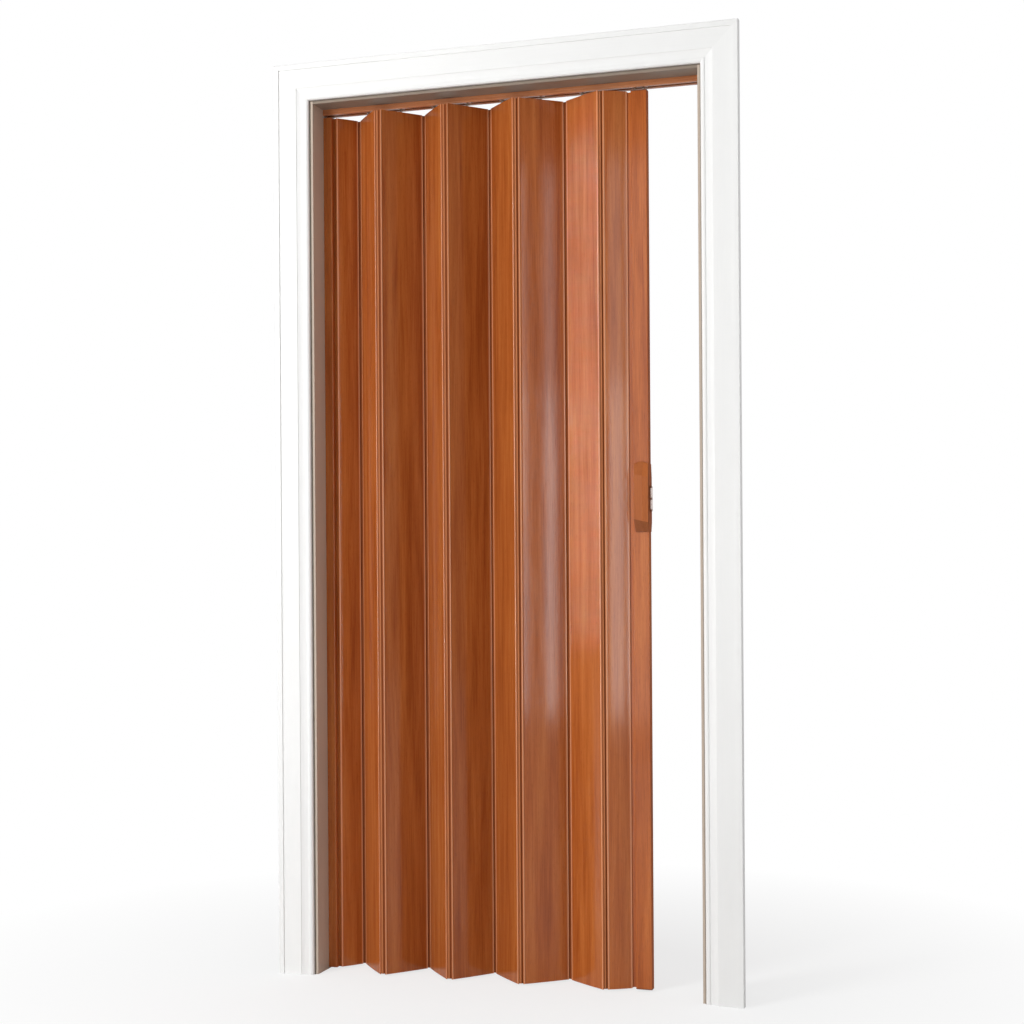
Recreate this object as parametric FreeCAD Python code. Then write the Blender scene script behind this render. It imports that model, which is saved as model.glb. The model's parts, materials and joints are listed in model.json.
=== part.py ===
import FreeCAD, Part
import math
import os

# Folding closet door: hollow slats joined by hinge strips, hung from a head track in a cased opening.
# +X runs along the opening from the wall strip to the strike, +Y into the wall, +Z up.
# The origin is on the floor, at the middle of the frame's footprint. All sizes are in millimetres.

# ---- opening and frame ----
opening_width = 914.0
opening_height = 2032.0
jamb_thickness = 19.0
jamb_depth = 124.0
reveal = 8.0                  # jamb edge left showing beside the casing
fixing_hole_radius = 2.5      # for the screws that hold the side jambs to the studs
fixing_hole_low = 240.0
fixing_hole_spacing = 1550.0
fixing_hole_inset = 20.0      # from the back edge of the jambs
casing_width = 85.0
casing_thickness = 17.0
casing_inner_edge = 6.0       # thickness of the casing where it starts beside the reveal
casing_bead_width = 10.0
casing_bead_height = 10.0
casing_bead_crest = 3.5       # from the inner edge to the top of the bead's curve
casing_bead_fall = 0.4        # from the bead's crease to the middle of its curve
casing_bead_step = 1.2        # down from the bead to the foot of the cove
casing_cove_width = 18.0
casing_cove_height = 4.5
casing_cove_hollow = 0.9      # of the cove below a straight slope
casing_flat_height = 14.5
casing_rim_width = 13.0
casing_rim_round = 2.5

# ---- track ----
door_setback = 74.0           # from the front edge of the jambs to the middle of the track
track_width = 32.0
track_height = 13.0
track_wall = 2.0
track_slot = 12.0
track_screw_count = 5
track_screw_inset = 60.0

# ---- wall strip and the channel that holds it ----
wall_strip_width = 21.0
wall_strip_depth = 28.0
wall_strip_wall = 2.0
wall_tongue = 7.0             # from the strip's face to the first hinge axis
wall_channel_flange = 12.0
wall_screw_count = 5
wall_screw_inset = 110.0

# ---- slats ----
full_slat_count = 7           # between a half slat at each end
slat_edge_thickness = 6.8
slat_middle_thickness = 9.2
slat_face_arcs = 6            # arcs that a crowned face is drawn in
slat_lip_radius = 4.0
slat_wall = 1.3
slat_end_solid = 7.0          # from a hinge axis to the first chamber
slat_boss_width = 8.0
slat_top_gap = 6.0            # below the track
slat_floor_gap = 4.0
even_fold_angle = 50.0        # of the slats near the wall strip, from the line of the track
last_fold_angle = 30.0        # of the half slat at the lead post
even_slat_count = 5
open_gap = 129.4              # left between the lead post and the strike jamb at rest

# ---- hinge strips ----
strip_span = 11.0             # between its two bead axes
strip_web = 1.0
bead_radius = 2.0
bead_clearance = 0.06
mouth_inward = 90.0           # how far the web may turn to the inside of a fold
mouth_outward = 26.0          # and to the outside
mouth_spare = 3.0             # degrees left beside the web at either end of its turn
mouth_reach = 10.0            # past the lip
mouth_side_count = 4
strip_end_gap = 1.0

# ---- hangers ----
pin_radius = 2.5
pin_thread_radius = 2.0
pin_thread_length = 35.0
pin_head_radius = 4.0
pin_head_height = 1.8
glide_radius = 9.5
glide_height = 5.0
glide_clearance = 0.2

# ---- lead post ----
post_width = 37.0
post_depth = 20.0
post_wall = 2.2
post_corner = 2.0
post_tongue = 10.6            # from the last hinge axis to the post
cap_flange = 2.0
cap_plug = 14.0
post_pin_inset = 9.0
post_glide_corner = 5.5

# ---- handles ----
handle_width = 33.0
handle_height = 158.0
handle_level = 1105.0
handle_shift = 1.7            # of the handles' middle to the right of the post's
handle_ridge_height = 14.0
handle_left_height = 9.0
handle_right_height = 6.0
handle_ridge_share = 0.62     # where the ridge stands across the handle
handle_foot = 4.0             # height of the ends where the bevels start
handle_top_bevel = 35.0
handle_bottom_bevel = 29.0
handle_arch_rise = 6.0
handle_bottom_taper = 3.0
grip_depth = 6.0              # finger room between the lip and the post
grip_reach = 9.0
grip_height = 96.0
handle_screw_spacing = 118.0
handle_screw_radius = 2.0
handle_screw_head_radius = 3.8
handle_screw_head_height = 2.6
handle_screw_bite = 6.5
handle_screw_seat = 5.0       # material left under the head

# ---- catch and strike ----
catch_level = 1100.0
catch_height = 57.0
catch_width = 12.0
catch_proud = 4.5
catch_neck = 5.0
catch_neck_inset = 3.0
magnet_height = 21.5
magnet_width = 12.0
magnet_proud = 0.5
magnet_sunk = 2.8
magnet_chamfer = 0.5
magnet_gap = 4.5
strike_height = 78.0
strike_width = 20.0
strike_thickness = 1.5
strike_screw_spacing = 66.0
strike_countersink = 1.3

# ---- small fasteners ----
screw_radius = 1.8
screw_head_radius = 3.6
screw_head_height = 1.6
screw_length = 16.0
recess_length = 4.4           # of one arm of the cross in a pan head
recess_width = 1.1
recess_depth = 1.0
jamb_screw_length = 45.0
jamb_screw_inset = 25.0
nail_radius = 0.9
nail_length = 38.0
nail_sink = 1.5
nail_count = 6
nail_end_inset = 90.0
nail_edge_inset = 5.0         # from the casing's inner edge

# ---- making ----
cut_margin = 1.0              # that a cutting shape stands out of what it cuts
same_place = 0.01             # two places nearer than this are one
solve_rounds = 12             # after which the slats' span no longer changes

# ---- places worked out from the sizes ----
half_opening = opening_width / 2
wall_y = casing_thickness - (casing_thickness + jamb_depth) / 2
door_y = wall_y + door_setback
frame_top = opening_height + jamb_thickness
casing_inner_x = half_opening + reveal
casing_inner_z = opening_height + reveal
casing_outer_x = casing_inner_x + casing_width
casing_outer_z = casing_inner_z + casing_width
track_bottom = opening_height - track_height
track_floor = track_bottom + track_wall
slat_top = track_bottom - slat_top_gap
slat_bottom = slat_floor_gap
slat_count = full_slat_count + 2
socket_radius = bead_radius + bead_clearance
strip_jamb_x = -half_opening
strip_face_x = strip_jamb_x + wall_strip_width
first_axis_x = strip_face_x + wall_tongue
post_right_x = half_opening - open_gap
post_left_x = post_right_x - post_width
last_axis_x = post_left_x - post_tongue
post_front_y = door_y - post_depth / 2
post_back_y = door_y + post_depth / 2
handle_mid_x = (post_left_x + post_right_x) / 2 + handle_shift
glide_bottom = track_floor + glide_clearance
glide_top = glide_bottom + glide_height


def vec(x, y, z):
    return FreeCAD.Vector(x, y, z)


def box(x0, x1, y0, y1, z0, z1):
    return Part.makeBox(x1 - x0, y1 - y0, z1 - z0, vec(x0, y0, z0))


def rod(x, y, radius, z0, z1):
    return Part.makeCylinder(radius, z1 - z0, vec(x, y, z0))


def fuse_all(shapes):
    return shapes[0].multiFuse(shapes[1:]).removeSplitter() if len(shapes) > 1 else shapes[0]


def cut_all(shape, tools):
    return shape.cut(Part.makeCompound(tools)) if tools else shape


def prism(points, height_vector):
    wire = Part.makePolygon([vec(*p) for p in points + points[:1]])
    return Part.Face(wire).extrude(height_vector)


def arc(start, middle, end):
    return Part.Arc(vec(*start), vec(*middle), vec(*end)).toShape()


def line(start, end):
    return Part.LineSegment(vec(*start), vec(*end)).toShape()


def spread(first, last, count):
    return [first + (last - first) * i / (count - 1) for i in range(count)]


def screw(place, direction, length, shank_radius, head_radius, head_height):
    """Pan head screw whose head sits on the place and whose shank runs along the direction."""
    along = vec(*direction)
    seat = vec(*place)
    top = seat - along * head_height
    head = Part.makeCylinder(head_radius, head_height, top, along)
    shank = Part.makeCylinder(shank_radius, length, seat, along)
    arm = box(-recess_length / 2, recess_length / 2, -recess_width / 2, recess_width / 2, 0, recess_depth)
    cross = arm.fuse(arm.rotated(vec(0, 0, 0), vec(0, 0, 1), 90))
    cross.Placement = FreeCAD.Placement(top, FreeCAD.Rotation(vec(0, 0, 1), along))
    return head.fuse(shank).cut(cross)


def countersunk(place, direction, length, shank_radius, head_radius):
    """Flat head screw whose head is flush with the place."""
    along = vec(*direction)
    cone_height = head_radius - shank_radius
    head = Part.makeCone(head_radius, shank_radius, cone_height, vec(*place), along)
    shank = Part.makeCylinder(shank_radius, length, vec(*place), along)
    return head.fuse(shank)


# ---- frame ----
def side_jamb(side):
    inner = side * half_opening
    outer = side * (half_opening + jamb_thickness)
    left = min(inner, outer)
    board = box(left, left + jamb_thickness, wall_y, wall_y + jamb_depth, 0, frame_top)
    hole_y = wall_y + jamb_depth - fixing_hole_inset
    holes = [Part.makeCylinder(fixing_hole_radius, jamb_thickness, vec(left, hole_y, z), vec(1, 0, 0))
             for z in (fixing_hole_low, fixing_hole_low + fixing_hole_spacing)]
    return cut_all(board, holes)


def head_jamb():
    return box(-half_opening, half_opening, wall_y, wall_y + jamb_depth, opening_height, frame_top)


def casing_section(place):
    """Moulded section; place turns a distance from the inner edge and a height into a point."""
    bead_end = casing_bead_width
    cove_end = bead_end + casing_cove_width
    rim_start = casing_width - casing_rim_width
    rim_end = casing_width - casing_rim_round
    rim_fall = casing_thickness - casing_rim_round
    cove_foot = casing_bead_height - casing_bead_step
    cove_top = cove_foot + casing_cove_height
    cove_middle = place((bead_end + cove_end) / 2, (cove_foot + cove_top) / 2 - casing_cove_hollow)
    round_middle = casing_rim_round * (1 - math.sqrt(0.5))
    edges = [
        line(place(0, 0), place(0, casing_inner_edge)),
        arc(place(0, casing_inner_edge), place(casing_bead_crest, casing_bead_height - casing_bead_fall),
            place(bead_end, casing_bead_height)),
        line(place(bead_end, casing_bead_height), place(bead_end, cove_foot)),
        arc(place(bead_end, cove_foot), cove_middle, place(cove_end, cove_top)),
        line(place(cove_end, cove_top), place(cove_end, casing_flat_height)),
        line(place(cove_end, casing_flat_height), place(rim_start, casing_flat_height)),
        line(place(rim_start, casing_flat_height), place(rim_start, casing_thickness)),
        line(place(rim_start, casing_thickness), place(rim_end, casing_thickness)),
        arc(place(rim_end, casing_thickness),
            place(casing_width - round_middle, casing_thickness - round_middle),
            place(casing_width, rim_fall)),
        line(place(casing_width, rim_fall), place(casing_width, 0)),
        line(place(casing_width, 0), place(0, 0)),
    ]
    return Part.Face(Part.Wire(edges))


def mitre_tool(side, keep_leg):
    """Wedge beyond the 45 degree line through the casing's inner and outer corners."""
    run = casing_width * 2
    corner_x = side * casing_inner_x
    reach_x = corner_x + side * run
    front_y = wall_y - casing_thickness - cut_margin
    points = [(corner_x, front_y, casing_inner_z), (reach_x, front_y, casing_inner_z + run)]
    if keep_leg:
        points.append((corner_x, front_y, casing_inner_z + run))
        points.append((corner_x - side * run, front_y, casing_inner_z))
    else:
        points.append((reach_x, front_y, casing_inner_z))
        points.append((corner_x, front_y, casing_inner_z - run))
    return prism(points, vec(0, casing_thickness + 2 * cut_margin, 0))


def casing_leg(side):
    def place(u, v):
        return (side * (casing_inner_x + u), wall_y - v, 0)

    leg = casing_section(place).extrude(vec(0, 0, casing_outer_z))
    return leg.cut(mitre_tool(side, True))


def casing_head():
    def place(u, v):
        return (-casing_outer_x, wall_y - v, casing_inner_z + u)

    head = casing_section(place).extrude(vec(2 * casing_outer_x, 0, 0))
    return head.cut(mitre_tool(-1, False)).cut(mitre_tool(1, False))


def casing_nails():
    """Brads through the casings into the front edges of the jambs, their heads sunk and filled."""
    start_y = wall_y - casing_bead_height + nail_sink
    edge = nail_edge_inset
    legs = [(side * (casing_inner_x + edge), z)
            for side in (-1, 1)
            for z in spread(nail_end_inset, opening_height - nail_end_inset, nail_count)]
    head = [(x, casing_inner_z + edge)
            for x in spread(nail_end_inset - half_opening, half_opening - nail_end_inset, nail_count)]
    return [Part.makeCylinder(nail_radius, nail_length, vec(x, start_y, z), vec(0, 1, 0))
            for x, z in legs + head]


def jamb_screws():
    """Screws through the side jambs into the ends of the head jamb."""
    z = (opening_height + frame_top) / 2
    return [countersunk((side * (half_opening + jamb_thickness), y, z), (-side, 0, 0),
                        jamb_screw_length, screw_radius, screw_head_radius)
            for side in (-1, 1)
            for y in (wall_y + jamb_screw_inset, wall_y + jamb_depth - jamb_screw_inset)]


# ---- track ----
def track():
    half = track_width / 2
    outer = box(-half_opening, half_opening, door_y - half, door_y + half, track_bottom, opening_height)
    room = box(-half_opening, half_opening, door_y - half + track_wall, door_y + half - track_wall,
               track_floor, opening_height - track_wall)
    slot = box(-half_opening, half_opening, door_y - track_slot / 2, door_y + track_slot / 2,
               track_bottom, track_floor)
    return cut_all(outer, [room, slot])


def track_screws():
    places = spread(track_screw_inset - half_opening, half_opening - track_screw_inset, track_screw_count)
    return [countersunk((x, door_y, opening_height - track_wall), (0, 0, 1),
                        screw_length, screw_radius, screw_head_radius) for x in places]


# ---- wall strip ----
def wall_channel():
    half = wall_strip_depth / 2 - wall_strip_wall
    top = slat_top - wall_strip_wall
    outer = box(strip_jamb_x, strip_jamb_x + wall_channel_flange, door_y - half, door_y + half,
                slat_bottom, top)
    room = box(strip_jamb_x + wall_strip_wall, strip_jamb_x + wall_channel_flange,
               door_y - half + wall_strip_wall, door_y + half - wall_strip_wall, slat_bottom, top)
    return outer.cut(room)


def wall_channel_screws():
    heights = spread(wall_screw_inset, slat_top - wall_screw_inset, wall_screw_count)
    return [screw((strip_jamb_x + wall_strip_wall, door_y, z), (-1, 0, 0),
                  screw_length, screw_radius, screw_head_radius, screw_head_height) for z in heights]


def wall_strip():
    half = wall_strip_depth / 2
    outer = box(strip_jamb_x, strip_face_x, door_y - half, door_y + half, slat_bottom, slat_top)
    outer = outer.makeFillet(post_corner, upright_edges(outer, strip_face_x))
    room = box(strip_jamb_x, strip_face_x - wall_strip_wall, door_y - half + wall_strip_wall,
               door_y + half - wall_strip_wall, slat_bottom, slat_top)
    tongue = box(strip_face_x - wall_strip_wall / 2, first_axis_x, door_y - strip_web / 2,
                 door_y + strip_web / 2, slat_bottom, slat_top)
    bead = rod(first_axis_x, door_y, bead_radius, slat_bottom, slat_top)
    return fuse_all([outer.cut(room), tongue, bead])


def upright_edges(shape, x):
    """The upright edges of a box that lie at the given x."""
    found = []
    for edge in shape.Edges:
        first, last = (v.Point for v in edge.Vertexes)
        upright = abs(first.x - last.x) < same_place and abs(first.y - last.y) < same_place
        if upright and abs(first.x - x) < same_place:
            found.append(edge)
    return found


# ---- the folded line of slats ----
def fold_angle(number):
    """Rest angle of a slat: even near the wall strip, opening out towards the lead post."""
    late = max(0, number - even_slat_count)
    step = (even_fold_angle - last_fold_angle) / (slat_count - even_slat_count)
    return math.radians(even_fold_angle - step * late)


def slat_share(number):
    return 0.5 if number in (1, slat_count) else 1.0


def strip_tilt(number, slat_span):
    """Angle of the hinge strip after a slat, which takes up the step between two unlike folds."""
    step = math.sin(fold_angle(number)) - math.sin(fold_angle(number + 1))
    return math.asin(slat_span / 2 * step / strip_span)


def solve_slat_span():
    """Span between a full slat's hinge axes that fills the room between wall strip and lead post."""
    numbers = range(1, slat_count + 1)
    reach = sum(slat_share(n) * math.cos(fold_angle(n)) for n in numbers)
    span = (last_axis_x - first_axis_x) / reach
    for _ in range(solve_rounds):
        strips = sum(strip_span * math.cos(strip_tilt(n, span)) for n in range(1, slat_count))
        span = (last_axis_x - first_axis_x - strips) / reach
    return span


def lay_out_folds(slat_span):
    """Start and end hinge axes of every slat, in order from the wall strip."""
    x, y = first_axis_x, door_y
    places = []
    for n in range(1, slat_count + 1):
        way = 1 if n % 2 else -1
        length = slat_span * slat_share(n)
        end_x = x + length * math.cos(fold_angle(n))
        end_y = y + way * length * math.sin(fold_angle(n))
        places.append(((x, y), (end_x, end_y)))
        if n < slat_count:
            tilt = strip_tilt(n, slat_span)
            x = end_x + strip_span * math.cos(tilt)
            y = end_y - way * strip_span * math.sin(tilt)
    return places


def lens(u0, u1, edge_thickness, middle_thickness, z0, z1):
    """Long thin body with two gently crowned faces, each of several arcs in one circle."""
    middle = (u0 + u1) / 2
    rise = (middle_thickness - edge_thickness) / 2
    radius = ((u1 - u0) ** 2 / 4 + rise ** 2) / (2 * rise)

    def on_face(u, side):
        height = middle_thickness / 2 - radius + math.sqrt(radius ** 2 - (u - middle) ** 2)
        return u, side * height, z0

    def face(first, last, side):
        ends = spread(first, last, slat_face_arcs + 1)
        return [arc(on_face(a, side), on_face((a + b) / 2, side), on_face(b, side))
                for a, b in zip(ends, ends[1:])]

    wire = Part.Wire(face(u0, u1, -1) + [line(on_face(u1, -1), on_face(u1, 1))]
                     + face(u1, u0, 1) + [line(on_face(u0, 1), on_face(u0, -1))])
    return Part.Face(wire).extrude(vec(0, 0, z1 - z0))


def mouth(axis_u, outward, turn_in, turn_out):
    """Wedge that opens a socket, from one web limit to the other, seen from the hinge axis."""
    web_half = math.degrees(math.asin(strip_web / 2 / socket_radius)) + mouth_spare
    low = outward - turn_in - web_half
    high = outward + turn_out + web_half
    points = [(axis_u, 0, slat_bottom)]
    for angle in spread(low, high, mouth_side_count + 1):
        turn = math.radians(angle)
        points.append((axis_u + mouth_reach * math.cos(turn), mouth_reach * math.sin(turn), slat_bottom))
    return prism(points, vec(0, 0, slat_top - slat_bottom))


def slat(start, end, way, hung):
    """One hollow slat between two hinge axes; way is the side of its folds, hung gives it a pin boss."""
    span = math.dist(start, end)
    body = lens(0, span, slat_edge_thickness, slat_middle_thickness, slat_bottom, slat_top)
    lips = [rod(u, 0, slat_lip_radius, slat_bottom, slat_top) for u in (0, span)]
    body = body.multiFuse(lips)
    hollow = lens(0, span, slat_edge_thickness - 2 * slat_wall, slat_middle_thickness - 2 * slat_wall,
                  slat_bottom, slat_top)
    ends = [box(-slat_lip_radius, slat_end_solid, -slat_lip_radius * 2, slat_lip_radius * 2,
                slat_bottom, slat_top),
            box(span - slat_end_solid, span + slat_lip_radius, -slat_lip_radius * 2,
                slat_lip_radius * 2, slat_bottom, slat_top)]
    rib_halves = {span / 2: slat_boss_width / 2 if hung else slat_wall / 2}
    if hung:
        rib_halves[(slat_end_solid + span / 2) / 2] = slat_wall / 2
        rib_halves[span - (slat_end_solid + span / 2) / 2] = slat_wall / 2
    ribs = [box(u - half, u + half, -slat_lip_radius * 2, slat_lip_radius * 2, slat_bottom, slat_top)
            for u, half in rib_halves.items()]
    chambers = cut_all(hollow, ends + ribs)
    sockets = [rod(u, 0, socket_radius, slat_bottom, slat_top) for u in (0, span)]
    mouths = [mouth(span, 0, mouth_inward, mouth_outward), mouth(0, 180, mouth_inward, mouth_outward)]
    body = cut_all(body, [chambers] + sockets + mouths)
    if hung:
        body = body.cut(rod(span / 2, 0, pin_thread_radius, slat_top - pin_thread_length, slat_top))
    if way < 0:
        body = body.mirror(vec(0, 0, 0), vec(0, 1, 0))
    turn = math.degrees(math.atan2(end[1] - start[1], end[0] - start[0]))
    body.rotate(vec(0, 0, 0), vec(0, 0, 1), turn)
    body.translate(vec(start[0], start[1], 0))
    return body


def hinge_strip(start, end):
    low = slat_bottom + strip_end_gap
    high = slat_top - strip_end_gap
    span = math.dist(start, end)
    web = box(0, span, -strip_web / 2, strip_web / 2, low, high)
    beads = [rod(u, 0, bead_radius, low, high) for u in (0, span)]
    strip = fuse_all([web] + beads)
    turn = math.degrees(math.atan2(end[1] - start[1], end[0] - start[0]))
    strip.rotate(vec(0, 0, 0), vec(0, 0, 1), turn)
    strip.translate(vec(start[0], start[1], 0))
    return strip


def hanger_pin(x, y, foot):
    """Pin screwed in below the foot level, with a neck through the glide and a head above it."""
    thread = rod(x, y, pin_thread_radius, foot - pin_thread_length, foot)
    neck = rod(x, y, pin_radius, foot, glide_top)
    head = rod(x, y, pin_head_radius, glide_top, glide_top + pin_head_height)
    return fuse_all([thread, neck, head])


def round_glide(x, y):
    disc = rod(x, y, glide_radius, glide_bottom, glide_top)
    return disc.cut(rod(x, y, pin_radius, glide_bottom, glide_top))


# ---- lead post ----
def post_pin_places():
    return [post_left_x + post_pin_inset, post_right_x - post_pin_inset]


def lead_post():
    low = slat_bottom + cap_flange
    high = slat_top - cap_flange
    outer = box(post_left_x, post_right_x, post_front_y, post_back_y, low, high)
    corners = upright_edges(outer, post_left_x) + upright_edges(outer, post_right_x)
    outer = outer.makeFillet(post_corner, corners)
    room = box(post_left_x + post_wall, post_right_x - post_wall, post_front_y + post_wall,
               post_back_y - post_wall, low, high)
    tongue = box(last_axis_x, post_left_x + post_wall / 2, door_y - strip_web / 2,
                 door_y + strip_web / 2, low, high)
    bead = rod(last_axis_x, door_y, bead_radius, low, high)
    body = fuse_all([outer.cut(room), tongue, bead])
    return cut_all(body, handle_bores() + [catch_neck_body()])


def post_cap(top):
    flange_low = slat_top - cap_flange if top else slat_bottom
    plug_low = flange_low - cap_plug if top else slat_bottom + cap_flange
    flange = box(post_left_x, post_right_x, post_front_y, post_back_y, flange_low,
                 flange_low + cap_flange)
    corners = upright_edges(flange, post_left_x) + upright_edges(flange, post_right_x)
    flange = flange.makeFillet(post_corner, corners)
    plug = box(post_left_x + post_wall, post_right_x - post_wall, post_front_y + post_wall,
               post_back_y - post_wall, plug_low, plug_low + cap_plug)
    cap = fuse_all([flange, plug])
    if top:
        cap = cut_all(cap, [rod(x, door_y, pin_thread_radius, plug_low, slat_top)
                            for x in post_pin_places()])
    return cap


def post_pins():
    return [hanger_pin(x, door_y, slat_top) for x in post_pin_places()]


def post_glide():
    shoe = box(post_left_x, post_right_x, door_y - glide_radius, door_y + glide_radius,
               glide_bottom, glide_top)
    corners = upright_edges(shoe, post_left_x) + upright_edges(shoe, post_right_x)
    shoe = shoe.makeFillet(post_glide_corner, corners)
    return cut_all(shoe, [rod(x, door_y, pin_radius, glide_bottom, glide_top)
                          for x in post_pin_places()])


# ---- handles ----
def handle_levels():
    return handle_level - handle_height / 2, handle_level + handle_height / 2


def handle_form():
    """Grip on the plane y = 0, rising towards -Y, in its place along X and Z."""
    low, high = handle_levels()
    left = handle_mid_x - handle_width / 2
    right = handle_mid_x + handle_width / 2
    ridge = left + handle_width * handle_ridge_share
    shoulder = high - handle_arch_rise
    outline = Part.Face(Part.Wire([
        line((left + handle_bottom_taper, 0, low), (right, 0, low)),
        line((right, 0, low), (right, 0, shoulder)),
        arc((right, 0, shoulder), (handle_mid_x, 0, high), (left, 0, shoulder)),
        line((left, 0, shoulder), (left, 0, low + handle_bottom_bevel)),
        line((left, 0, low + handle_bottom_bevel), (left + handle_bottom_taper, 0, low)),
    ])).extrude(vec(0, -handle_ridge_height, 0))
    facets = prism([(left, 0, low), (left, -handle_left_height, low), (ridge, -handle_ridge_height, low),
                    (right, -handle_right_height, low), (right, 0, low)], vec(0, 0, handle_height))
    bevels = prism([(left, 0, low), (left, -handle_foot, low),
                    (left, -handle_ridge_height, low + handle_bottom_bevel),
                    (left, -handle_ridge_height, high - handle_top_bevel),
                    (left, -handle_foot, high), (left, 0, high)], vec(handle_width, 0, 0))
    form = outline.common(facets).common(bevels)
    grip = box(left, left + grip_reach, -grip_depth, 0, handle_level - grip_height / 2,
               handle_level + grip_height / 2)
    return form.cut(grip).removeSplitter()


def handle_screw_levels():
    return [handle_level - handle_screw_spacing / 2, handle_level + handle_screw_spacing / 2]


def handle_screw_seat_y():
    return post_back_y + handle_screw_seat


def handle_screws():
    length = handle_screw_seat_y() - post_front_y + handle_screw_bite
    return [screw((handle_mid_x, handle_screw_seat_y(), z), (0, -1, 0), length, handle_screw_radius,
                  handle_screw_head_radius, handle_screw_head_height) for z in handle_screw_levels()]


def handle_bores():
    length = handle_screw_seat_y() - post_front_y + handle_screw_bite
    return [Part.makeCylinder(handle_screw_radius, length, vec(handle_mid_x, handle_screw_seat_y(), z),
                              vec(0, -1, 0)) for z in handle_screw_levels()]


def handle_front():
    form = handle_form()
    form.translate(vec(0, post_front_y, 0))
    return cut_all(form, handle_bores())


def handle_back():
    form = handle_form().mirror(vec(0, 0, 0), vec(0, 1, 0))
    form.translate(vec(0, post_back_y, 0))
    wells = [Part.makeCylinder(handle_screw_head_radius, handle_ridge_height,
                               vec(handle_mid_x, handle_screw_seat_y(), z), vec(0, 1, 0))
             for z in handle_screw_levels()]
    return cut_all(form, handle_bores() + wells)


# ---- catch and strike ----
def upright_oblong(x0, x1, width, height, level):
    """Plate in the plane across X with half round ends."""
    radius = width / 2
    straight = height / 2 - radius
    plate = box(x0, x1, door_y - radius, door_y + radius, level - straight, level + straight)
    ends = [Part.makeCylinder(radius, x1 - x0, vec(x0, door_y, z), vec(1, 0, 0))
            for z in (level - straight, level + straight)]
    return fuse_all([plate] + ends)


def catch_neck_body():
    return upright_oblong(post_right_x - catch_neck, post_right_x, catch_width - 2 * catch_neck_inset,
                          catch_height - 2 * catch_neck_inset, catch_level)


def catch_magnets():
    x0 = post_right_x + catch_proud - magnet_sunk
    x1 = post_right_x + catch_proud + magnet_proud
    offset = (magnet_height + magnet_gap) / 2
    magnets = []
    for level in (catch_level - offset, catch_level + offset):
        plate = box(x0, x1, door_y - magnet_width / 2, door_y + magnet_width / 2,
                    level - magnet_height / 2, level + magnet_height / 2)
        rims = [e for e in plate.Edges if all(abs(v.X - x1) < same_place for v in e.Vertexes)]
        magnets.append(plate.makeChamfer(magnet_chamfer, rims))
    return magnets


def catch_housing():
    plate = upright_oblong(post_right_x, post_right_x + catch_proud, catch_width, catch_height, catch_level)
    body = fuse_all([plate, catch_neck_body()])
    return cut_all(body, catch_magnets())


def strike_screws():
    return [countersunk((half_opening - strike_thickness, door_y, z), (1, 0, 0), screw_length,
                        screw_radius, screw_radius + strike_countersink)
            for z in (catch_level - strike_screw_spacing / 2, catch_level + strike_screw_spacing / 2)]


def strike_plate():
    plate = upright_oblong(half_opening - strike_thickness, half_opening, strike_width, strike_height,
                           catch_level)
    return cut_all(plate, strike_screws())


def build():
    """Every piece by name; a list is a group of separate solids."""
    pieces = {
        "jamb_left": cut_all(side_jamb(-1), jamb_screws() + wall_channel_screws() + casing_nails()),
        "jamb_right": cut_all(side_jamb(1), jamb_screws() + strike_screws() + casing_nails()),
        "jamb_head": cut_all(head_jamb(), jamb_screws() + track_screws() + casing_nails()),
        "jamb_screws": jamb_screws(),
        "casing_left": cut_all(casing_leg(-1), casing_nails()),
        "casing_right": cut_all(casing_leg(1), casing_nails()),
        "casing_head": cut_all(casing_head(), casing_nails()),
        "casing_nails": casing_nails(),
        "track": cut_all(track(), track_screws()),
        "track_screws": track_screws(),
        "wall_channel": cut_all(wall_channel(), wall_channel_screws()),
        "wall_channel_screws": wall_channel_screws(),
        "wall_strip": wall_strip(),
        "strike_plate": strike_plate(),
        "strike_screws": strike_screws(),
        "lead_post": lead_post(),
        "post_cap_top": post_cap(True),
        "post_cap_bottom": post_cap(False),
        "post_pins": post_pins(),
        "post_glide": post_glide(),
        "handle_front": handle_front(),
        "handle_back": handle_back(),
        "handle_screws": handle_screws(),
        "catch_housing": catch_housing(),
        "catch_magnets": catch_magnets(),
    }
    folds = lay_out_folds(solve_slat_span())
    for n, (start, end) in enumerate(folds, 1):
        hung = 1 < n < slat_count
        pieces[f"slat_{n}"] = slat(start, end, 1 if n % 2 else -1, hung)
        if hung:
            middle = ((start[0] + end[0]) / 2, (start[1] + end[1]) / 2)
            pieces[f"hanger_pin_{n}"] = hanger_pin(*middle, slat_top)
            pieces[f"glide_{n}"] = round_glide(*middle)
        if n < slat_count:
            pieces[f"hinge_strip_{n}"] = hinge_strip(end, folds[n][0])
    return pieces


os.makedirs("parts", exist_ok=True)
for name, shape in build().items():
    if isinstance(shape, list):
        shape = Part.makeCompound(shape)
    shape.exportStep(f"parts/{name}.step")
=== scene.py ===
import json
import math
import bmesh
import bpy
from mathutils import Matrix, Vector

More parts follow.
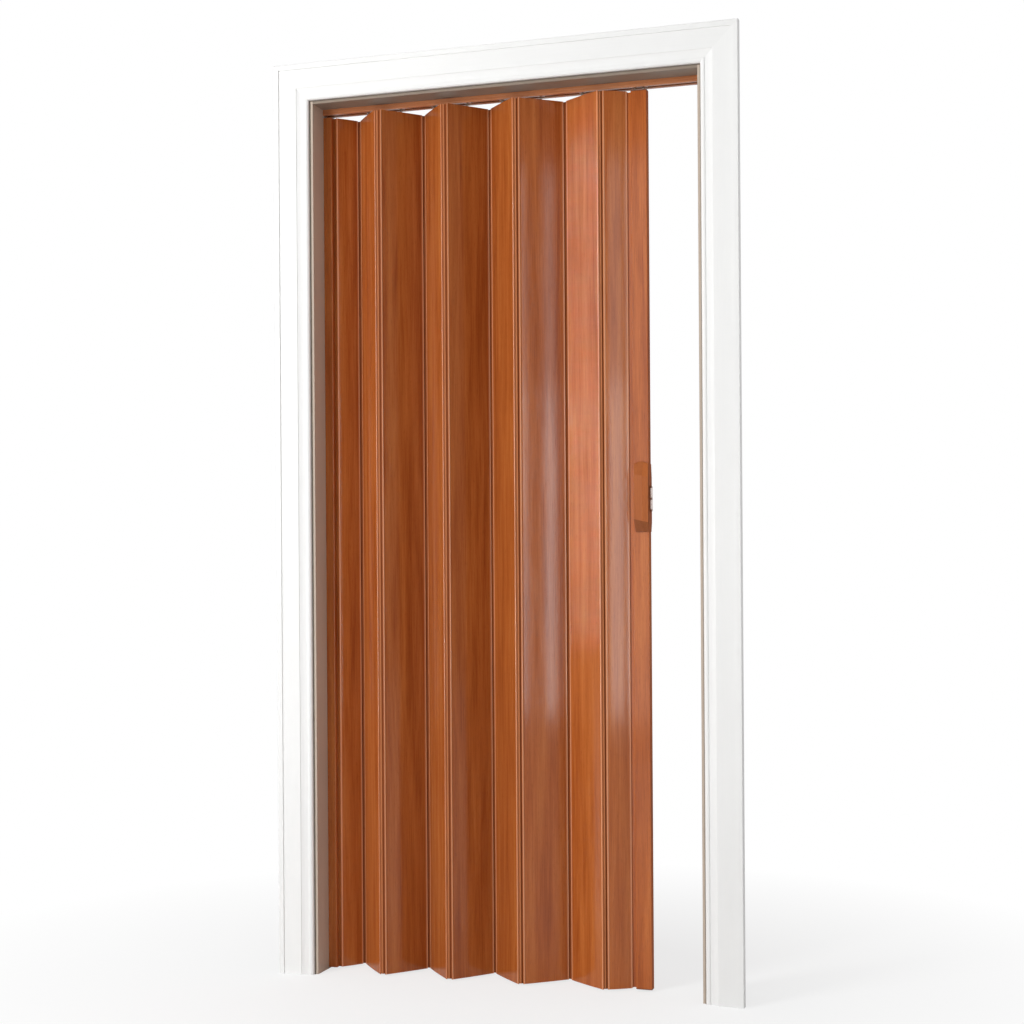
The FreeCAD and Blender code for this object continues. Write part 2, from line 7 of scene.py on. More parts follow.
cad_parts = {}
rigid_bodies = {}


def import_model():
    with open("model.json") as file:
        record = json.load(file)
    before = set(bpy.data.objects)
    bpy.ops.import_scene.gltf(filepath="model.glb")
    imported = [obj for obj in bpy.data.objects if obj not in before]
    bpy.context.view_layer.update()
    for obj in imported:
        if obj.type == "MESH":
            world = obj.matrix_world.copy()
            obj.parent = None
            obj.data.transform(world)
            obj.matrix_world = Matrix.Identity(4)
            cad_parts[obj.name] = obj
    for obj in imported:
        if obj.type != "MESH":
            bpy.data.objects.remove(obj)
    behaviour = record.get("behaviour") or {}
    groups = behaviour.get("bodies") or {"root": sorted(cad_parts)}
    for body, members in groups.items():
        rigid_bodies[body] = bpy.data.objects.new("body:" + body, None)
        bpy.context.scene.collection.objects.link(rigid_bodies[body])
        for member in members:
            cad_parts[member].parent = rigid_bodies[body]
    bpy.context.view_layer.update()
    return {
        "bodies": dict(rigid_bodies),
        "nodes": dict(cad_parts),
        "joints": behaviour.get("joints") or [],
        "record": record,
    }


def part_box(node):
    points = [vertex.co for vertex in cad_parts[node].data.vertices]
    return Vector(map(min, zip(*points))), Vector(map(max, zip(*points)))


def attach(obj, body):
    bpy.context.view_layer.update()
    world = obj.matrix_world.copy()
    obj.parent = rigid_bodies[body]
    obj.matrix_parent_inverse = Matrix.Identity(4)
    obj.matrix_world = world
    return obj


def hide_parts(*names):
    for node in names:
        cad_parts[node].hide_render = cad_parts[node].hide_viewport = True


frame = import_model()
print("frame loaded:", len(frame["nodes"]), "nodes")

hinges = {joint["name"]: Vector(joint["pos_m"]) for joint in frame["joints"]}
slatCount = sum(1 for body in frame["bodies"] if body.startswith("slat_"))
bodyOf = {node: body for body, nodes in frame["record"]["behaviour"]["bodies"].items() for node in nodes}
weldGap = 1e-6  # joins vertices that lie on one spot

cameraPlace = {
    "position": (1.26387, -3.78812, 0.98005),
    "turnLeft": 0.3200,
    "tiltUp": -0.0004,
    "roll": -0.00659,
    "lens": 61.523,
    "sensor": 36,
    "shiftUp": 0.04108,
}


def makeCamera(v):
    turn, tilt, roll = v["turnLeft"], v["tiltUp"], v["roll"]
    ahead = Vector((-math.sin(turn) * math.cos(tilt), math.cos(turn) * math.cos(tilt), math.sin(tilt)))
    aside = Vector((math.cos(turn), math.sin(turn), 0))
    up = aside.cross(ahead)
    right = aside * math.cos(roll) + up * math.sin(roll)
    top = up * math.cos(roll) - aside * math.sin(roll)
    data = bpy.data.cameras.new("camera")
    data.sensor_width = v["sensor"]
    data.lens = v["lens"]
    data.shift_y = v["shiftUp"]
    camera = bpy.data.objects.new("camera", data)
    turned = Matrix((right, top, -ahead)).transposed().to_4x4()
    camera.matrix_world = Matrix.Translation(v["position"]) @ turned
    bpy.context.scene.collection.objects.link(camera)
    bpy.context.scene.camera = camera


makeCamera(cameraPlace)
print("camera placed")


# helpers for every node tree
def addNode(tree, kind, sockets=None, **settings):
    node = tree.nodes.new(kind)
    for key, value in settings.items():
        setattr(node, key, value)
    for key, value in (sockets or {}).items():
        if isinstance(value, bpy.types.NodeSocket):
            tree.links.new(value, node.inputs[key])
        else:
            node.inputs[key].default_value = value
    return node


def sums(tree, operation, first, second=0.0, third=0.0):
    return addNode(tree, "ShaderNodeMath", {0: first, 1: second, 2: third}, operation=operation).outputs[0]


def clamped(tree, value, top=1.0):
    return sums(tree, "MAXIMUM", sums(tree, "MINIMUM", value, top), 0.0)


# helpers for materials
def newMaterial(name):
    material = bpy.data.materials.new(name)
    material.use_nodes = True
    material.node_tree.nodes.clear()
    return material, material.node_tree


def stretchedNoise(tree, stretch, scale, detail=2.0, distortion=0.0, offset=(0, 0, 0)):
    place = addNode(tree, "ShaderNodeTexCoord").outputs["Object"]
    moved = addNode(tree, "ShaderNodeMapping", {"Vector": place, "Scale": stretch, "Location": offset})
    noise = addNode(tree, "ShaderNodeTexNoise", {
        "Vector": moved.outputs[0], "Scale": scale, "Detail": detail, "Distortion": distortion})
    return noise.outputs["Fac"]


def ramp(tree, factor, stops):
    node = addNode(tree, "ShaderNodeValToRGB", {"Fac": factor})
    points = node.color_ramp.elements
    while len(points) < len(stops):
        points.new(0.5)
    for stop, (place, color) in zip(points, stops):
        stop.position = place
        stop.color = (*color, 1)
    return node.outputs["Color"]


def level(tree, factor, low, high, toLow=0.0, toHigh=1.0):
    return addNode(tree, "ShaderNodeMapRange", {
        "Value": factor, "From Min": low, "From Max": high, "To Min": toLow, "To Max": toHigh}).outputs[0]


def mixColor(tree, mode, factor, first, second):
    node = addNode(tree, "ShaderNodeMix", data_type="RGBA", blend_type=mode)
    for socket, value in ((node.inputs[0], factor), (node.inputs[6], first), (node.inputs[7], second)):
        if isinstance(value, bpy.types.NodeSocket):
            tree.links.new(value, socket)
        else:
            socket.default_value = value
    return node.outputs[2]


def scaled(tree, color, share):
    return addNode(tree, "ShaderNodeVectorMath", {0: color, "Scale": share}, operation="SCALE").outputs[0]


def attribute(tree, name):
    return addNode(tree, "ShaderNodeAttribute", attribute_name=name).outputs["Fac"]


def normalParts(tree):
    normal = addNode(tree, "ShaderNodeTexCoord").outputs["Normal"]
    return addNode(tree, "ShaderNodeSeparateXYZ", {0: normal}).outputs


def surface(tree, color, roughness, height, bumpDepth, specular=0.5, metallic=0.0):
    shader = addNode(tree, "ShaderNodeBsdfPrincipled", {
        "Base Color": color, "Roughness": roughness, "Specular IOR Level": specular, "Metallic": metallic})
    bump = addNode(tree, "ShaderNodeBump", {"Height": height, "Distance": bumpDepth, "Strength": 1.0})
    tree.links.new(bump.outputs[0], shader.inputs["Normal"])
    output = addNode(tree, "ShaderNodeOutputMaterial")
    tree.links.new(shader.outputs[0], output.inputs["Surface"])


filmGrain = {
    "darkTone": (0.300, 0.064, 0.0105),
    "middleTone": (0.420, 0.108, 0.021),
    "lightTone": (0.510, 0.158, 0.036),
    "toneStops": (0.36, 0.50, 0.64),
    "broadStretch": (1, 1, 0.045),
    "broadScale": 62.0,
    "broadTwist": 0.35,
    "broadShare": 0.46,
    "driftScale": 13.0,
    "driftShare": 0.22,
    "fineStretch": (1, 1, 0.014),
    "fineScale": 760.0,
    "fineShare": 0.32,
    "dashStretch": (1, 1, 0.075),
    "dashScale": 900.0,
    "dashRange": (0.60, 0.72),
    "dashShare": 0.36,
    "dashTint": (0.52, 0.40, 0.33, 1),
    "roughness": (0.085, 0.135),
    "roughRange": (0.35, 0.65),
    "waveStretch": (1, 1, 0.30),
    "waveScale": 15.0,
    "waveDepth": 0.00030,
    "grainRelief": 0.05,
    "lipHighlightTone": (0.74, 0.32, 0.16, 1),  # painted highlight: the film is painted paler round each lip, standing in for the gloss lines along the folds
    "lipHighlightShare": 0.85,
}
# the parts of a face's normal across which the painted shade on downward faces (low), the painted light on
# right-facing faces (right, undone again on side faces) or the mattness (matt) changes
faceTurns = {"low": (-0.24, -0.14), "right": (0.14, 0.24), "side": (0.45, 0.60), "matt": (0.6, 0.9)}
mattRoughness = 0.85


def woodFilm(name, v, tone=1.0, specular=0.5, sideways=False, offset=(0, 0, 0), mattSide=False,
             paintedLightMarks=False, paintedFacetLight=None):
    material, tree = newMaterial(name)

    def grain(stretch, scale, detail=1.0, twist=0.0):
        return stretchedNoise(tree, stretch[::-1] if sideways else stretch, scale, detail, twist, offset)

    broad = grain(v["broadStretch"], v["broadScale"], 3.0, v["broadTwist"])
    drift = grain(v["broadStretch"], v["driftScale"])
    fine = grain(v["fineStretch"], v["fineScale"], 2.0)
    dashes = grain(v["dashStretch"], v["dashScale"])
    mixed = sums(tree, "MULTIPLY", broad, v["broadShare"])
    mixed = sums(tree, "MULTIPLY_ADD", drift, v["driftShare"], mixed)
    mixed = sums(tree, "MULTIPLY_ADD", fine, v["fineShare"], mixed)
    tones = [tuple(part * tone for part in v[key]) for key in ("darkTone", "middleTone", "lightTone")]
    color = ramp(tree, mixed, list(zip(v["toneStops"], tones)))
    marks = level(tree, dashes, *v["dashRange"])
    color = mixColor(tree, "MULTIPLY", sums(tree, "MULTIPLY", marks, v["dashShare"]), color, v["dashTint"])
    if paintedLightMarks:
        # painted light: each slat's film is scaled by its painted light tone
        color = scaled(tree, color, attribute(tree, "tone"))
        # painted highlight: the film is mixed toward a pale tone round the slats' lips
        lipHighlightMix = sums(tree, "MULTIPLY", attribute(tree, "lip"), v["lipHighlightShare"])
        color = mixColor(tree, "MIX", lipHighlightMix, color, v["lipHighlightTone"])
    # painted shade on downward faces and painted light on right-facing faces
    if paintedFacetLight:
        facing = normalParts(tree)
        low = level(tree, facing[2], *faceTurns["low"], paintedFacetLight["low"], 1.0)
        right = level(tree, facing[0], *faceTurns["right"], 1.0, paintedFacetLight["right"])
        side = level(tree, facing[0], *faceTurns["side"], 1.0, 1.0 / paintedFacetLight["right"])
        color = scaled(tree, color, sums(tree, "MULTIPLY", low, sums(tree, "MULTIPLY", right, side)))
    rough = level(tree, fine, *v["roughRange"], *v["roughness"])
    if mattSide:
        matt = level(tree, normalParts(tree)[0], *faceTurns["matt"], 0.0, mattRoughness)
        rough = sums(tree, "MAXIMUM", rough, matt)
    wave = stretchedNoise(tree, v["waveStretch"], v["waveScale"], 1.0)
    height = sums(tree, "MULTIPLY_ADD", marks, -v["grainRelief"], wave)
    height = sums(tree, "MULTIPLY_ADD", fine, v["grainRelief"], height)
    surface(tree, color, rough, height, v["waveDepth"], specular)
    return material


toneSpan = (0.35, 0.65)  # the part of a noise that changes a tone
roughSpan = (0.3, 0.7)  # and the part that changes a roughness


def shades(color, tint):
    dark = tuple(part * (1 - tint) for part in color)
    light = tuple(min(1.0, part * (1 + tint)) for part in color)
    return list(zip(toneSpan, (dark, light)))


def roughened(tree, noise, roughness, spread):
    return level(tree, noise, *roughSpan, roughness - spread[0], roughness + spread[1])


paintLook = {
    "cloudStretch": (1, 1, 0.5),
    "cloudScale": 7.0,
    "strokeShare": 0.4,
    "cloudShare": 0.6,
    "spread": (0.05, 0.05),
    "specular": 0.4,
    "depth": 0.00006,
}


def paint(name, color, roughness, brush, brushScale, tint=0.05, v=paintLook):
    material, tree = newMaterial(name)
    strokes = stretchedNoise(tree, brush, brushScale, 3.0)
    cloud = stretchedNoise(tree, v["cloudStretch"], v["cloudScale"])
    mixed = sums(tree, "MULTIPLY", cloud, v["cloudShare"])
    mixed = sums(tree, "MULTIPLY_ADD", strokes, v["strokeShare"], mixed)
    tone = ramp(tree, mixed, shades(color, tint))
    surface(tree, tone, roughened(tree, cloud, roughness, v["spread"]), strokes, v["depth"], v["specular"])
    return material


mouldedLook = {"cloudScale": 45.0, "spread": (0.05, 0.06)}


def moulded(name, color, roughness, specular=0.4, tint=0.10, scale=900.0, depth=0.00004, v=mouldedLook):
    material, tree = newMaterial(name)
    grainy = stretchedNoise(tree, (1, 1, 1), scale, 3.0)
    cloud = stretchedNoise(tree, (1, 1, 1), v["cloudScale"])
    tone = ramp(tree, cloud, shades(color, tint))
    surface(tree, tone, roughened(tree, grainy, roughness, v["spread"]), grainy, depth, specular)
    return material


platedLook = {
    "scratchScale": 1400.0,
    "cloudScale": 60.0,
    "shade": 0.88,
    "toneStops": (0.3, 0.7),
    "spread": (0.07, 0.09),
    "depth": 0.00002,
}


def plated(name, color, roughness, brush=(1, 1, 1), v=platedLook):
    material, tree = newMaterial(name)
    scratches = stretchedNoise(tree, brush, v["scratchScale"], 3.0)
    cloud = stretchedNoise(tree, (1, 1, 1), v["cloudScale"])
    dull = tuple(part * v["shade"] for part in color)
    tone = ramp(tree, cloud, list(zip(v["toneStops"], (dull, color))))
    rough = roughened(tree, scratches, roughness, v["spread"])
    surface(tree, tone, rough, scratches, v["depth"], metallic=1.0)
    return material


# painted light on the hinge strips: the groove colour is painted shade and the crest colour a painted
# highlight
vinylLook = {
    "grooveShade": (0.225, 0.052, 0.011, 1),
    "crestHighlight": (0.56, 0.205, 0.080, 1),
    "dirt": (0.75, 0.68, 0.62, 1),
    "dirtShare": 0.35,
    "cloudStretch": (1, 1, 0.06),
    "cloudScale": 120.0,
    "roughness": 0.50,
    "spread": (0.05, 0.05),
    "specular": 0.12,
    "depth": 0.00002,
}


def crestHighlightVinyl(name, v):
    material, tree = newMaterial(name)
    cloud = stretchedNoise(tree, v["cloudStretch"], v["cloudScale"])
    # painted highlight and shade: the crest mark mixes the strip between the two colours
    tone = mixColor(tree, "MIX", attribute(tree, "crestHighlight"), v["grooveShade"], v["crestHighlight"])
    tone = mixColor(tree, "MULTIPLY", level(tree, cloud, *toneSpan, 0.0, v["dirtShare"]), tone, v["dirt"])
    rough = roughened(tree, cloud, v["roughness"], v["spread"])
    surface(tree, tone, rough, cloud, v["depth"], v["specular"])
    return material


handleGrain = {**filmGrain, "darkTone": (0.33, 0.084, 0.017), "middleTone": (0.385, 0.104, 0.023),
               "lightTone": (0.435, 0.128, 0.031), "roughness": (0.34, 0.42), "waveDepth": 0.00006}
trackGrain = {**filmGrain, "darkTone": (0.42, 0.135, 0.045), "middleTone": (0.52, 0.185, 0.070),
              "lightTone": (0.60, 0.240, 0.100), "roughness": (0.20, 0.28)}
uprightBrush, levelBrush = (1, 1, 0.03), (0.03, 1, 1)
slatFilm = woodFilm("slatFilm", filmGrain, paintedLightMarks=True)
stripFilm = woodFilm("wallStripFilm", filmGrain, offset=(0.3, 0.1, 0.2))
trackFilm = woodFilm("trackFilm", trackGrain, sideways=True)
postFilm = woodFilm("postFilm", filmGrain, tone=1.13, offset=(0.7, 0.4, 0.1), mattSide=True)
# painted light: the handle's downward faces are painted darker, its right-facing faces lighter
handlePlastic = woodFilm("handlePlastic", handleGrain, specular=0.30, mattSide=True,
                         paintedFacetLight={"low": 0.70, "right": 1.24})
capPlastic = moulded("capPlastic", (0.20, 0.055, 0.014), 0.42)
hingeVinyl = crestHighlightVinyl("hingeVinyl", vinylLook)
plainVinyl = moulded("plainVinyl", (0.25, 0.09, 0.03), 0.45)
liningPaint = paint("liningPaint", (0.53, 0.440, 0.360), 0.42, uprightBrush, 260.0)
# painted shade: the head lining is a darker copy of the lining paint, standing in for the shade under the
# head
shadedHeadLiningPaint = paint("headLiningShadedPaint", (0.27, 0.215, 0.170), 0.42, levelBrush, 260.0)
casingPaint = paint("casingPaint", (0.88, 0.88, 0.87), 0.38, uprightBrush, 320.0, tint=0.012)
headCasingPaint = paint("headCasingPaint", (0.86, 0.86, 0.85), 0.38, levelBrush, 320.0, tint=0.012)
# partly painted shade: the caulk takes the dark colour of the joint between casing and lining, which is
# partly shadow
caulkShadePaint = moulded("caulkShadePaint", (0.20, 0.170, 0.138), 0.6, specular=0.2, tint=0.12, scale=400.0,
                     depth=0.0002)
nylonWhite = moulded("nylonWhite", (0.78, 0.76, 0.70), 0.38)
zincPlate = plated("zincPlate", (0.60, 0.60, 0.58), 0.34)
pinSteel = plated("pinSteel", (0.36, 0.30, 0.24), 0.42)
catchPlastic = moulded("catchPlastic", (0.24, 0.080, 0.026), 0.38)
nickelPlate = plated("nickelPlate", (0.66, 0.56, 0.52), 0.26, (1, 1, 0.05))
print("materials made")


# helpers for shapes
def linkPiece(name, mesh, material):
    piece = bpy.data.objects.new(name, mesh)
    bpy.context.scene.collection.objects.link(piece)
    mesh.materials.clear()
    mesh.materials.append(material)
    return piece


def smoothByAngle(mesh, degrees):
    mesh.shade_smooth()
    mesh.set_sharp_from_angle(angle=math.radians(degrees))


def settleModifiers(piece):
    graph = bpy.context.evaluated_depsgraph_get()
    mesh = bpy.data.meshes.new_from_object(piece.evaluated_get(graph), depsgraph=graph)
    piece.modifiers.clear()
    piece.data = mesh
    return mesh


def roundEdges(piece, width, segments, degrees):
    rounding = piece.modifiers.new("round", "BEVEL")
    rounding.width = width
    rounding.segments = segments
    rounding.limit_method = "ANGLE"
    rounding.angle_limit = math.radians(degrees)
    rounding.use_clamp_overlap = True
    settleModifiers(piece)


def evenShading(piece, degrees):
    smoothByAngle(piece.data, degrees)
    even = piece.modifiers.new("even", "WEIGHTED_NORMAL")
    even.keep_sharp = True
    even.weight = 100
    settleModifiers(piece)


def finishPiece(piece, body, slotName, *nodes):
    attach(piece, body)
    if nodes:
        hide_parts(*nodes)


def startTree(name, inputs):
    tree = bpy.data.node_groups.new(name, "GeometryNodeTree")
    tree.interface.new_socket(name="Geometry", in_out="OUTPUT", socket_type="NodeSocketGeometry")
    for label, kind, value in inputs:
        socket = tree.interface.new_socket(name=label, in_out="INPUT", socket_type="NodeSocket" + kind)
        if value is not None:
            socket.default_value = value
    return tree, addNode(tree, "NodeGroupInput").outputs


# a tree's inputs are the values whose names are capitalised
def floats(values):
    return [(label, "Float", value) for label, value in values.items() if label.istitle()]


def endTree(tree, geometry, material):
    real = addNode(tree, "GeometryNodeRealizeInstances", {"Geometry": geometry}).outputs[0]
    coated = addNode(tree, "GeometryNodeSetMaterial", {"Geometry": real, "Material": material}).outputs[0]
    addNode(tree, "NodeGroupOutput", {"Geometry": coated})


def bakeTree(tree, name, values, smooth, host=None):
    piece = bpy.data.objects.new(name, host or bpy.data.meshes.new(name))
    bpy.context.scene.collection.objects.link(piece)
    shape = piece.modifiers.new("shape", "NODES")
    shape.node_group = tree
    for socket in tree.interface.items_tree:
        if socket.in_out == "INPUT" and socket.name in values:
            shape[socket.identifier] = values[socket.name]
    smoothByAngle(settleModifiers(piece), smooth)
    return piece


def joinAll(tree, parts):
    join = addNode(tree, "GeometryNodeJoinGeometry")
    for part in parts:
        tree.links.new(part, join.inputs[0])
    return join.outputs[0]


def closeUp(tree, geometry, gap=0.00002):
    return addNode(tree, "GeometryNodeMergeByDistance", {"Geometry": geometry, "Distance": gap}).outputs[0]


def point(tree, x, y=0.0, z=0.0):
    return addNode(tree, "ShaderNodeCombineXYZ", {0: x, 1: y, 2: z}).outputs[0]


def whereabouts(tree):
    place = addNode(tree, "GeometryNodeInputPosition").outputs[0]
    return addNode(tree, "ShaderNodeSeparateXYZ", {0: place}).outputs


def arcCurve(tree, radius, start, sweep, count, centre):
    arc = addNode(tree, "GeometryNodeCurveArc", {
        "Resolution": count, "Radius": radius, "Start Angle": start, "Sweep Angle": sweep}, mode="RADIUS")
    return addNode(tree, "GeometryNodeTransform", {
        "Geometry": arc.outputs[0], "Translation": centre}).outputs[0]


def lineCurve(tree, start, end):
    return addNode(tree, "GeometryNodeCurvePrimitiveLine", {"Start": start, "End": end}).outputs[0]


def evenCurve(tree, start, end, count):
    return addNode(tree, "GeometryNodeResampleCurve", {
        "Curve": lineCurve(tree, start, end), "Count": count}).outputs[0]


# where a slat or a strip stands: from one hinge axis, along its fold's side, to the next
placing = [("Span", "Float", 0.1), ("Height", "Float", 2.0), ("Fold Side", "Float", 1.0),
           ("Start", "Vector", (0, 0, 0)), ("Turn", "Float", 0.0)]
capGap = 0.000005


def extrudeOutline(tree, curves, inputs, marks):
    edges = addNode(tree, "GeometryNodeCurveToMesh", {"Curve": curves}).outputs[0]
    loops = addNode(tree, "GeometryNodeMeshToCurve", {"Mesh": closeUp(tree, edges)}).outputs[0]
    way = addNode(tree, "GeometryNodeTransform", {
        "Geometry": loops, "Scale": point(tree, 1.0, inputs["Fold Side"], 1.0)}).outputs[0]
    face = addNode(tree, "GeometryNodeFillCurve", {"Curve": way}).outputs[0]
    tall = addNode(tree, "GeometryNodeExtrudeMesh", {
        "Mesh": face, "Offset": point(tree, 0.0, 0.0, 1.0), "Offset Scale": inputs["Height"],
        "Individual": False}, mode="FACES")
    under = addNode(tree, "GeometryNodeFlipFaces", {"Mesh": face}).outputs[0]
    whole = closeUp(tree, joinAll(tree, [tall.outputs[0], under]), capGap)
    for label, value in marks:
        whole = addNode(tree, "GeometryNodeStoreNamedAttribute", {
            "Geometry": whole, "Name": label, "Value": value}, domain="POINT", data_type="FLOAT").outputs[0]
    return addNode(tree, "GeometryNodeTransform", {
        "Geometry": whole, "Translation": inputs["Start"],
        "Rotation": point(tree, 0.0, 0.0, inputs["Turn"])}).outputs[0]


def halfTurnCopy(tree, geometry, span):
    return addNode(tree, "GeometryNodeTransform", {
        "Geometry": geometry, "Translation": point(tree, span), "Rotation": (0, 0, math.pi)}).outputs[0]


def placeValues(start, end, low, high, n):
    run = end - start
    return {"Span": run.length, "Height": high[2] - low[2], "Fold Side": 1.0 if n % 2 else -1.0,
            "Start": (start.x, start.y, low[2]), "Turn": math.atan2(run.y, run.x)}


slatShape = {
    "Edge Half": 0.0034,
    "Middle Half": 0.0046,
    "Wall": 0.0013,
    "Lip Radius": 0.0040,
    "Socket Radius": 0.00206,
    "Mouth Out": math.radians(43.05),
    "Socket Sweep": math.radians(209.9),
    "End Solid": 0.007,
    "Boss Width": 0.008,
    # these Pale and Back values set where the painted highlight round each lip starts and fades, and how
    # strong it is on the back side
    "Pale From": 0.0019,
    "Pale To": 0.0024,
    "Pale Fade": 0.0009,
    "Back From": 0.0052,
    "Back Fade": 0.0020,
    "backPale": 0.9,
    "crownPoints": 49,
    "lipPoints": 9,
    "underLipPoints": 3,
    "socketPoints": 15,
    "chamberPoints": 8,
    "smooth": 30,
}
# each slat's film is painted lighter or darker, standing in for light that fell unevenly across the door
slatLightTones = (1.0, 1.01, 0.92, 0.93, 0.95, 0.92, 1.0, 1.06, 1.04)


def crownHalf(tree, u, edge, middle, span):
    across = sums(tree, "MULTIPLY_ADD", sums(tree, "DIVIDE", u, span), 2.0, -1.0)
    bow = sums(tree, "SUBTRACT", 1.0, sums(tree, "MULTIPLY", across, across))
    return sums(tree, "MULTIPLY_ADD", sums(tree, "SUBTRACT", middle, edge), bow, edge)


def chamberLoop(tree, first, last, edge, middle, span):
    width = sums(tree, "SUBTRACT", last, first)
    centre = sums(tree, "MULTIPLY", sums(tree, "ADD", first, last), 0.5)
    grid = addNode(tree, "GeometryNodeMeshGrid", {
        "Size X": width, "Size Y": 1.0, "Vertices X": slatShape["chamberPoints"],
        "Vertices Y": 2}).outputs[0]
    here = whereabouts(tree)
    u = sums(tree, "ADD", here[0], centre)
    v = sums(tree, "MULTIPLY", sums(tree, "MULTIPLY", here[1], 2.0), crownHalf(tree, u, edge, middle, span))
    placed = addNode(tree, "GeometryNodeSetPosition", {
        "Geometry": grid, "Position": point(tree, u, v)}).outputs[0]
    rim = addNode(tree, "FunctionNodeCompare", data_type="INT", operation="EQUAL")
    whole = {socket.name: socket for socket in rim.inputs if socket.type == "INT"}
    tree.links.new(addNode(tree, "GeometryNodeInputMeshEdgeNeighbors").outputs[0], whole["A"])
    whole["B"].default_value = 1
    loop = addNode(tree, "GeometryNodeMeshToCurve", {"Mesh": placed, "Selection": rim.outputs[0]}).outputs[0]
    return addNode(tree, "GeometryNodeCurveToMesh", {"Curve": loop}).outputs[0]


def slatOutline(tree, inputs):
    span, lip, socket = inputs["Span"], inputs["Lip Radius"], inputs["Socket Radius"]
    out, sweep, meet = inputs["Mouth Out"], inputs["Socket Sweep"], inputs["Lip Meet"]
    centre = point(tree, span)
    inset = sums(tree, "MULTIPLY", lip, sums(tree, "COSINE", meet))
    crown = evenCurve(tree, point(tree, inset), point(tree, sums(tree, "SUBTRACT", span, inset)),
                      slatShape["crownPoints"])
    x = whereabouts(tree)[0]
    rise = crownHalf(tree, x, inputs["Edge Half"], inputs["Middle Half"], span)
    crown = addNode(tree, "GeometryNodeSetPosition", {
        "Geometry": crown, "Position": point(tree, x, rise)}).outputs[0]

    def onRing(radius, angle):
        return point(tree, sums(tree, "MULTIPLY_ADD", radius, sums(tree, "COSINE", angle), span),
                     sums(tree, "MULTIPLY", radius, sums(tree, "SINE", angle)))

    back = sums(tree, "ADD", out, sweep)
    topMeet = sums(tree, "SUBTRACT", math.pi, meet)
    lowMeet = sums(tree, "ADD", math.pi, meet)
    half = joinAll(tree, [
        crown,
        arcCurve(tree, lip, out, sums(tree, "SUBTRACT", topMeet, out), slatShape["lipPoints"], centre),
        lineCurve(tree, onRing(lip, out), onRing(socket, out)),
        arcCurve(tree, socket, out, sweep, slatShape["socketPoints"], centre),
        lineCurve(tree, onRing(socket, back), onRing(lip, back)),
        arcCurve(tree, lip, lowMeet, sums(tree, "SUBTRACT", back, lowMeet), slatShape["underLipPoints"],
                 centre)])
    return addNode(tree, "GeometryNodeCurveToMesh", {
        "Curve": joinAll(tree, [half, halfTurnCopy(tree, half, span)])}).outputs[0]


def slatRooms(tree, inputs, halfSpan, hung):
    span, first = inputs["Span"], inputs["End Solid"]
    rib = sums(tree, "MULTIPLY", inputs["Wall"], 0.5)
    if hung:
        quarter = sums(tree, "MULTIPLY", sums(tree, "ADD", first, halfSpan), 0.5)
        boss = sums(tree, "MULTIPLY", inputs["Boss Width"], 0.5)
        rooms = [(first, sums(tree, "SUBTRACT", quarter, rib)),
                 (sums(tree, "ADD", quarter, rib), sums(tree, "SUBTRACT", halfSpan, boss))]
    else:
        rooms = [(first, sums(tree, "SUBTRACT", halfSpan, rib))]
    return rooms + [(sums(tree, "SUBTRACT", span, b), sums(tree, "SUBTRACT", span, a)) for a, b in rooms]


# painted highlight: how much of the film near each lip is painted paler
def paintedLipHighlight(tree, inputs, halfSpan):
    x = whereabouts(tree)[0]
    fade = inputs["Pale Fade"]
    beyond = sums(tree, "MAXIMUM", sums(tree, "MULTIPLY", x, -1.0), sums(tree, "SUBTRACT", x, inputs["Span"]))
    comes = sums(tree, "DIVIDE", sums(tree, "ADD", beyond, inputs["Pale From"]), fade)
    goes = sums(tree, "DIVIDE", sums(tree, "SUBTRACT", inputs["Pale To"], beyond), fade)
    behind = sums(tree, "MULTIPLY", sums(tree, "SUBTRACT", x, halfSpan), inputs["Fold Side"])
    behind = sums(tree, "SUBTRACT", behind, halfSpan)
    nears = sums(tree, "DIVIDE", sums(tree, "ADD", behind, inputs["Back From"]), inputs["Back Fade"])
    return sums(tree, "MAXIMUM", clamped(tree, sums(tree, "MINIMUM", comes, goes)),
                clamped(tree, sums(tree, "MINIMUM", nears, goes), slatShape["backPale"]))


def makeSlatTree(hung):
    tree, inputs = startTree("hungSlat" if hung else "halfSlat", floats(slatShape) + placing + [
        ("Lip Meet", "Float", 1.06), ("Light Tone", "Float", 1.0), ("Film", "Material", None)])
    outline = slatOutline(tree, inputs)
    innerEdge = sums(tree, "SUBTRACT", inputs["Edge Half"], inputs["Wall"])
    innerMiddle = sums(tree, "SUBTRACT", inputs["Middle Half"], inputs["Wall"])
    halfSpan = sums(tree, "MULTIPLY", inputs["Span"], 0.5)
    loops = [chamberLoop(tree, a, b, innerEdge, innerMiddle, inputs["Span"])
             for a, b in slatRooms(tree, inputs, halfSpan, hung)]
    lines = addNode(tree, "GeometryNodeMeshToCurve", {
        "Mesh": closeUp(tree, joinAll(tree, [outline] + loops))}).outputs[0]
    # the lip mark carries the painted highlight round the lips
    marks = [("tone", inputs["Light Tone"]), ("lip", paintedLipHighlight(tree, inputs, halfSpan))]
    endTree(tree, extrudeOutline(tree, lines, inputs, marks), inputs["Film"])
    return tree


# the angle at which the crowned face meets the round lip, found by closing in on it
def lipMeet(v, span):
    angle = 1.0
    for _ in range(20):
        across = 2 * v["Lip Radius"] * math.cos(angle) / span - 1
        rise = v["Edge Half"] + (v["Middle Half"] - v["Edge Half"]) * (1 - across * across)
        angle = math.asin(rise / v["Lip Radius"])
    return angle


